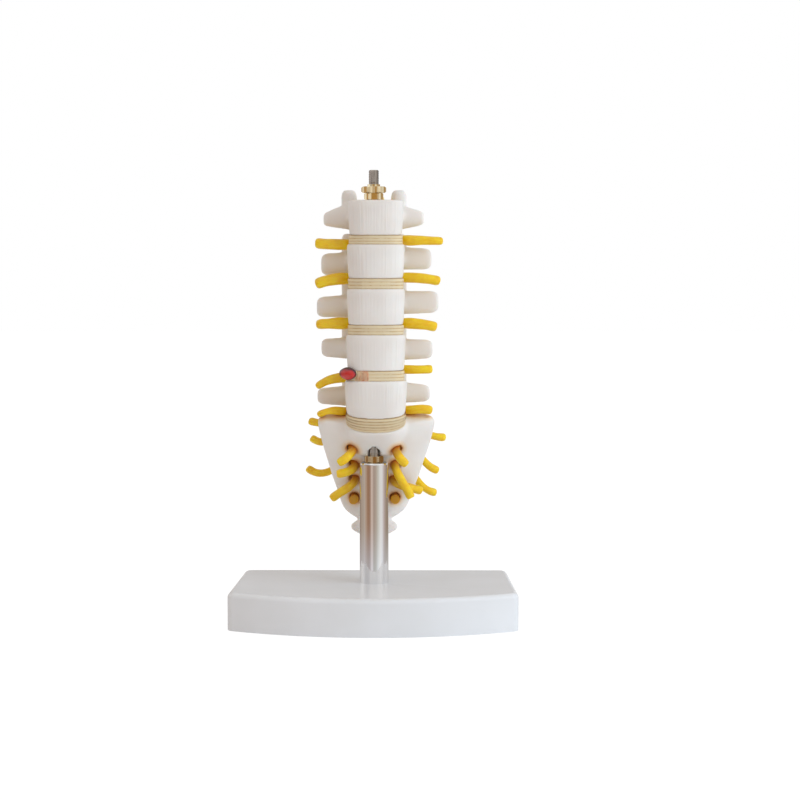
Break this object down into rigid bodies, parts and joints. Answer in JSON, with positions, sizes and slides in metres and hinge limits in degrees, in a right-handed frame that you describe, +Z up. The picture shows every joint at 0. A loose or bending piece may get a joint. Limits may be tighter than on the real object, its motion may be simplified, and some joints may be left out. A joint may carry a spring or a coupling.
{
  "type": "lumbar spine anatomy model",
  "caption": "Reduced-size lumbar spine and sacrum with discs, nerves and a torn disc, on a chromed column and a bowed white base, for explaining the lower back to patients.",
  "frame": {"origin": "middle of the base's footprint, on the table", "axes": "+Z up along the column, the spine's front and the base's bowed edge face -Y, +X to the right of someone who looks at the front"},
  "size_m": [0.1372, 0.085, 0.2164],
  "materials": {
    "base_plastic": "glossy white moulded styrene",
    "zinc_steel": "bright zinc plate",
    "chrome_tube": "polished chrome plate",
    "brass": "polished",
    "bone_pvc": "satin off-white vinyl with a soft sheen",
    "disc_pvc": "slightly clear amber vinyl",
    "core_pvc": "glossy red paint",
    "nerve_pvc": "glossy yellow vinyl"
  },
  "bodies": {
    "root": {"base_shell": "base_plastic", "base_washer": "zinc_steel", "base_nut": "zinc_steel", "column_plug": "zinc_steel", "tie_rod": "zinc_steel", "column_tube": "chrome_tube", "column_nut": "brass", "top_nut": "brass", "top_fitting": "brass", "vertebra_l1": "bone_pvc", "vertebra_l2": "bone_pvc", "vertebra_l3": "bone_pvc", "vertebra_l4": "bone_pvc", "vertebra_l5": "bone_pvc", "sacrum": "bone_pvc", "disc_l1_l2": "disc_pvc", "disc_l2_l3": "disc_pvc", "disc_l3_l4": "disc_pvc", "disc_l4_l5": "disc_pvc", "disc_l5_s1": "disc_pvc", "herniated_core": "core_pvc", "nerve_sac": "nerve_pvc", "nerve_l1_left": "nerve_pvc", "nerve_l1_right": "nerve_pvc", "nerve_l2_left": "nerve_pvc", "nerve_l2_right": "nerve_pvc", "nerve_l3_left": "nerve_pvc", "nerve_l3_right": "nerve_pvc", "nerve_l4_left": "nerve_pvc", "nerve_l4_right": "nerve_pvc", "nerve_l5_left": "nerve_pvc", "nerve_l5_right": "nerve_pvc", "sacral_nerve_s1_left": "nerve_pvc", "sacral_nerve_s1_right": "nerve_pvc", "sacral_nerve_s2_left": "nerve_pvc", "sacral_nerve_s2_right": "nerve_pvc", "sacral_nerve_s3_left": "nerve_pvc", "sacral_nerve_s3_right": "nerve_pvc", "sacral_nerve_s4_left": "nerve_pvc", "sacral_nerve_s4_right": "nerve_pvc", "rear_nerve_s1_left": "nerve_pvc", "rear_nerve_s1_right": "nerve_pvc", "rear_nerve_s2_left": "nerve_pvc", "rear_nerve_s2_right": "nerve_pvc", "rear_nerve_s3_left": "nerve_pvc", "rear_nerve_s3_right": "nerve_pvc"}
  },
  "joints": []
}
